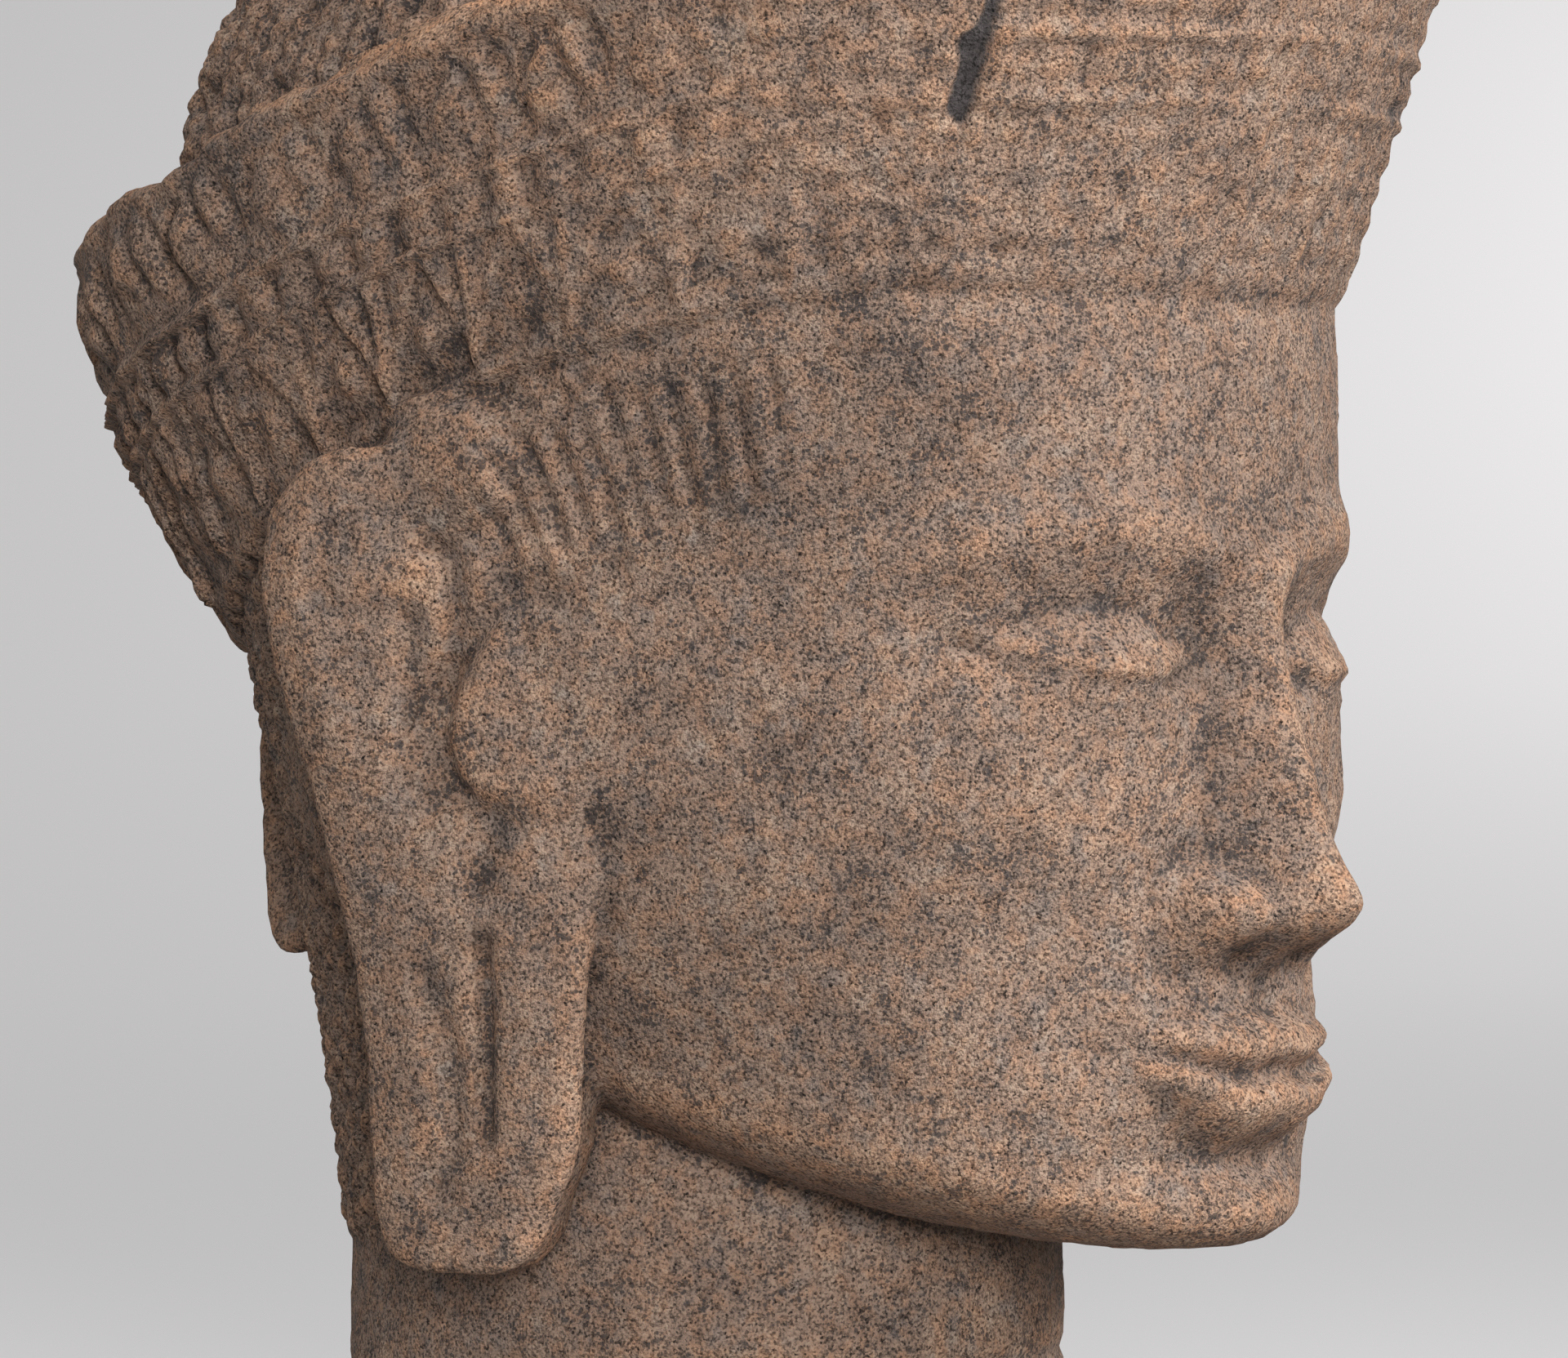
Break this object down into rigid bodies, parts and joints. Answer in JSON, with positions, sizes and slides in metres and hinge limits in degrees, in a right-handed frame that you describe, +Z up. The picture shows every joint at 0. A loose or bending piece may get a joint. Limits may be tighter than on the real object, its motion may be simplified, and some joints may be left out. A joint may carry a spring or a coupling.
{
  "type": "carved stone head",
  "caption": "Life-size stone head of a crowned deity with a flaring diadem, braided dome of hair, topknot and long pierced ear lobes, cut flat below the neck.",
  "frame": {"origin": "centre of the flat cut under the neck", "axes": "+Z up from the cut to the topknot, -Y the way the face looks, -X towards the head's own right ear"},
  "size_m": [0.1979, 0.2308, 0.3579],
  "materials": {
    "sandstone": "weathered, rough-grained brown sandstone"
  },
  "bodies": {
    "root": {"vishnu_head": "sandstone"}
  },
  "joints": []
}
